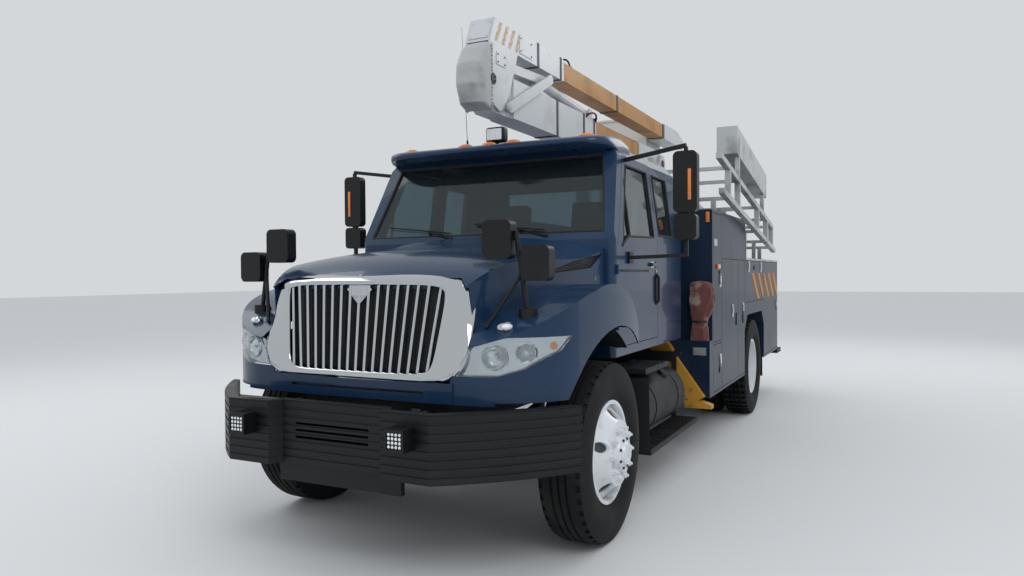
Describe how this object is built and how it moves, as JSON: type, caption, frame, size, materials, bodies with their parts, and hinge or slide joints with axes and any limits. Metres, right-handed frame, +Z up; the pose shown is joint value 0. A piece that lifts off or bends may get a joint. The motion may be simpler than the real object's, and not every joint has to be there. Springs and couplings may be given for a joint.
{
  "type": "cherry picker truck",
  "caption": "Utility truck with a hollow cab, service body with lockers, slanted outriggers, a slewing turret, a folding boom and a levelling bucket.",
  "frame": {"origin": "centre of the truck's footprint at ground height", "axes": "+Z up, +Y towards the truck's tail, +X towards the driver's side"},
  "size_m": [2.9, 7.9552, 3.49],
  "materials": {
    "navy_paint": "glossy",
    "chrome": "polished",
    "black_plastic": "satin",
    "tyre_rubber": "matte",
    "white_wheel": "glossy",
    "window_glass": "clear",
    "boom_white": "satin",
    "boom_fibreglass": "satin",
    "yellow_paint": "worn",
    "red_vinyl": "soft",
    "white_vinyl": "soft",
    "rack_aluminium": "brushed",
    "chassis_black": "satin",
    "cast_running_gear": "rough",
    "lamp_plastic": "glossy",
    "cab_trim": "matte",
    "bucket_fibreglass": "satin",
    "cylinder_steel": "satin"
  },
  "bodies": {
    "chassis": {"frame_rails": "chassis_black", "running_gear": "cast_running_gear", "tanks_and_steps": "chassis_black", "bumper": "black_plastic", "cab_shell": "navy_paint", "cab_glass": "window_glass", "cab_interior": "cab_trim", "lamps": "lamp_plastic", "body_compartments": "navy_paint", "body_deck": "navy_paint", "ladder_rack": "rack_aluminium", "outrigger_housing": "yellow_paint", "pedestal": "boom_white", "control_cover": "red_vinyl"},
    "hood": {"hood_shell": "navy_paint", "grille": "chrome", "headlamps": "lamp_plastic", "fender_mirrors": "black_plastic"},
    "slewing_turret": {"turret": "boom_white"},
    "lower_boom": {"lower_boom_steel": "boom_white", "lower_boom_insert": "boom_fibreglass"},
    "upper_boom": {"upper_boom_steel": "boom_white", "upper_boom_insert": "boom_fibreglass", "elbow_cover": "white_vinyl"},
    "lift_barrel_body": {"lift_barrel": "boom_white"},
    "lift_rod_body": {"lift_rod": "cylinder_steel"},
    "elbow_barrel_body": {"elbow_barrel": "boom_white"},
    "elbow_rod_body": {"elbow_rod": "cylinder_steel"},
    "rocker_body": {"rocker": "boom_white"},
    "link_body": {"link": "boom_white"},
    "bucket_body": {"bucket": "bucket_fibreglass"},
    "front_wheel_left": {"tyre_front_left": "tyre_rubber", "rim_front_left": "white_wheel"},
    "rear_wheels_left": {"tyres_rear_left": "tyre_rubber", "rims_rear_left": "white_wheel"},
    "steering_left": {"knuckle_left": "cast_running_gear"},
    "cab_door_left": {"door_left": "navy_paint", "door_glass_left": "window_glass", "mirror_left": "black_plastic"},
    "outrigger_leg_left": {"outrigger_left": "yellow_paint"},
    "locker_left_front_upper": {"body_door_left_front_upper": "navy_paint"},
    "locker_left_front_lower": {"body_door_left_front_lower": "navy_paint"},
    "locker_left_middle_a": {"body_door_left_middle_a": "navy_paint"},
    "locker_left_middle_b": {"body_door_left_middle_b": "navy_paint"},
    "locker_left_wheel": {"body_door_left_wheel": "navy_paint"},
    "locker_left_rear": {"body_door_left_rear": "navy_paint"},
    "front_wheel_right": {"tyre_front_right": "tyre_rubber", "rim_front_right": "white_wheel"},
    "rear_wheels_right": {"tyres_rear_right": "tyre_rubber", "rims_rear_right": "white_wheel"},
    "steering_right": {"knuckle_right": "cast_running_gear"},
    "cab_door_right": {"door_right": "navy_paint", "door_glass_right": "window_glass", "mirror_right": "black_plastic"},
    "outrigger_leg_right": {"outrigger_right": "yellow_paint"},
    "locker_right_front": {"body_door_right_front": "navy_paint"},
    "locker_right_wheel": {"body_door_right_wheel": "navy_paint"},
    "locker_right_rear": {"body_door_right_rear": "navy_paint"}
  },
  "joints": [
    {"name": "steer_left", "type": "hinge", "parent": "chassis", "child": "steering_left", "pos_m": [0.8, -2.70235, 0.525], "axis": [0, 0, 1], "range_deg": [-35, 35]},
    {"name": "front_wheel_left_spin", "type": "hinge", "parent": "steering_left", "child": "front_wheel_left", "pos_m": [1.02, -2.70235, 0.525], "axis": [1, 0, 0], "continuous": true},
    {"name": "rear_wheels_left_spin", "type": "hinge", "parent": "chassis", "child": "rear_wheels_left", "pos_m": [0.89, 1.89465, 0.525], "axis": [1, 0, 0], "continuous": true},
    {"name": "cab_door_left_hinge", "type": "hinge", "parent": "chassis", "child": "cab_door_left", "pos_m": [1.009, -2.20485, 1.41], "axis": [0, 0, -1], "range_deg": [0, 70]},
    {"name": "outrigger_left_slide", "type": "slide", "parent": "chassis", "child": "outrigger_leg_left", "axis": [0.5871, 0, -0.8095], "range_m": [0, 0.5]},
    {"name": "locker_left_front_upper_hinge", "type": "hinge", "parent": "chassis", "child": "locker_left_front_upper", "pos_m": [1.2, -0.24485, 1.5225], "axis": [0, 0, -1], "range_deg": [0, 90]},
    {"name": "locker_left_front_lower_hinge", "type": "hinge", "parent": "chassis", "child": "locker_left_front_lower", "pos_m": [1.2, -0.24485, 0.7325], "axis": [0, 0, -1], "range_deg": [0, 90]},
    {"name": "locker_left_middle_a_hinge", "type": "hinge", "parent": "chassis", "child": "locker_left_middle_a", "pos_m": [1.2, 0.13015, 1.11], "axis": [0, 0, -1], "range_deg": [0, 90]},
    {"name": "locker_left_middle_b_hinge", "type": "hinge", "parent": "chassis", "child": "locker_left_middle_b", "pos_m": [1.2, 0.92015, 1.11], "axis": [0, 0, -1], "range_deg": [0, 90]},
    {"name": "locker_left_wheel_hinge", "type": "hinge", "parent": "chassis", "child": "locker_left_wheel", "pos_m": [1.2, 1.89465, 1.2525], "axis": [0, 1, 0], "range_deg": [0, 90]},
    {"name": "locker_left_rear_hinge", "type": "hinge", "parent": "chassis", "child": "locker_left_rear", "pos_m": [1.2, 2.54715, 1.14], "axis": [0, 0, -1], "range_deg": [0, 90]},
    {"name": "steer_right", "type": "hinge", "parent": "chassis", "child": "steering_right", "pos_m": [-0.8, -2.70235, 0.525], "axis": [0, 0, 1], "range_deg": [-35, 35]},
    {"name": "front_wheel_right_spin", "type": "hinge", "parent": "steering_right", "child": "front_wheel_right", "pos_m": [-1.02, -2.70235, 0.525], "axis": [1, 0, 0], "continuous": true},
    {"name": "rear_wheels_right_spin", "type": "hinge", "parent": "chassis", "child": "rear_wheels_right", "pos_m": [-0.89, 1.89465, 0.525], "axis": [1, 0, 0], "continuous": true},
    {"name": "cab_door_right_hinge", "type": "hinge", "parent": "chassis", "child": "cab_door_right", "pos_m": [-1.009, -2.20485, 1.41], "axis": [0, 0, 1], "range_deg": [0, 70]},
    {"name": "outrigger_right_slide", "type": "slide", "parent": "chassis", "child": "outrigger_leg_right", "axis": [-0.5871, 0, -0.8095], "range_m": [0, 0.5]},
    {"name": "locker_right_front_hinge", "type": "hinge", "parent": "chassis", "child": "locker_right_front", "pos_m": [-1.2, -0.24485, 1.11], "axis": [0, 0, 1], "range_deg": [0, 90]},
    {"name": "locker_right_wheel_hinge", "type": "hinge", "parent": "chassis", "child": "locker_right_wheel", "pos_m": [-1.2, 1.89465, 1.2525], "axis": [0, -1, 0], "range_deg": [0, 90]},
    {"name": "locker_right_rear_hinge", "type": "hinge", "parent": "chassis", "child": "locker_right_rear", "pos_m": [-1.2, 2.54715, 1.14], "axis": [0, 0, 1], "range_deg": [0, 90]},
    {"name": "hood_tilt", "type": "hinge", "parent": "chassis", "child": "hood", "pos_m": [0, -3.60235, 0.85], "axis": [1, 0, 0], "range_deg": [0, 60]},
    {"name": "turret_slew", "type": "hinge", "parent": "chassis", "child": "slewing_turret", "pos_m": [0, 1.97765, 1.815], "axis": [0, 0, 1], "continuous": true},
    {"name": "boom_raise", "type": "hinge", "parent": "slewing_turret", "child": "lower_boom", "pos_m": [0, 2.01765, 2.86], "axis": [-1, 0, 0], "range_deg": [0, 80]},
    {"name": "boom_unfold", "type": "hinge", "parent": "lower_boom", "child": "upper_boom", "pos_m": [0, -2.19235, 2.93], "axis": [1, 0, 0], "range_deg": [0, 125], "deforming": ["elbow_cover"]},
    {"name": "bucket_level", "type": "hinge", "parent": "upper_boom", "child": "bucket_body", "pos_m": [-0.14, 2.54265, 3.28], "axis": [1, 0, 0], "range_deg": [-125, 90]},
    {"name": "lift_barrel_swing", "type": "hinge", "parent": "slewing_turret", "child": "lift_barrel_body", "pos_m": [0, 1.73765, 1.95], "axis": [-1, 0, 0], "range_deg": [0, 32]},
    {"name": "lift_rod_slide", "type": "slide", "parent": "lift_barrel_body", "child": "lift_rod_body", "axis": [0, -0.5162, 0.8565], "range_m": [0, 0.745]},
    {"name": "rocker_swing", "type": "hinge", "parent": "lower_boom", "child": "rocker_body", "pos_m": [0, -1.96235, 2.77], "axis": [1, 0, 0], "range_deg": [0, 65]},
    {"name": "link_swing", "type": "hinge", "parent": "upper_boom", "child": "link_body", "pos_m": [0, -1.98235, 3.08], "axis": [1, 0, 0], "range_deg": [-86, 0]},
    {"name": "elbow_barrel_swing", "type": "hinge", "parent": "lower_boom", "child": "elbow_barrel_body", "pos_m": [0, -0.20235, 3.05], "axis": [1, 0, 0], "range_deg": [-14, 0]},
    {"name": "elbow_rod_slide", "type": "slide", "parent": "elbow_barrel_body", "child": "elbow_rod_body", "axis": [0, -0.9971, 0.0767], "range_m": [0, 0.8]}
  ],
  "couplings": [
    {"joint": "steer_right", "follows": "steer_left", "ratio": 1},
    {"joint": "lift_barrel_swing", "follows": "boom_raise", "ratio": 0.37843},
    {"joint": "lift_rod_slide", "follows": "boom_raise", "m_per_rad": 0.52684},
    {"joint": "rocker_swing", "follows": "boom_unfold", "ratio": 0.49934},
    {"joint": "link_swing", "follows": "boom_unfold", "ratio": -0.63976},
    {"joint": "elbow_barrel_swing", "follows": "boom_unfold", "ratio": -0.09868},
    {"joint": "elbow_rod_slide", "follows": "boom_unfold", "m_per_rad": 0.35745}
  ]
}
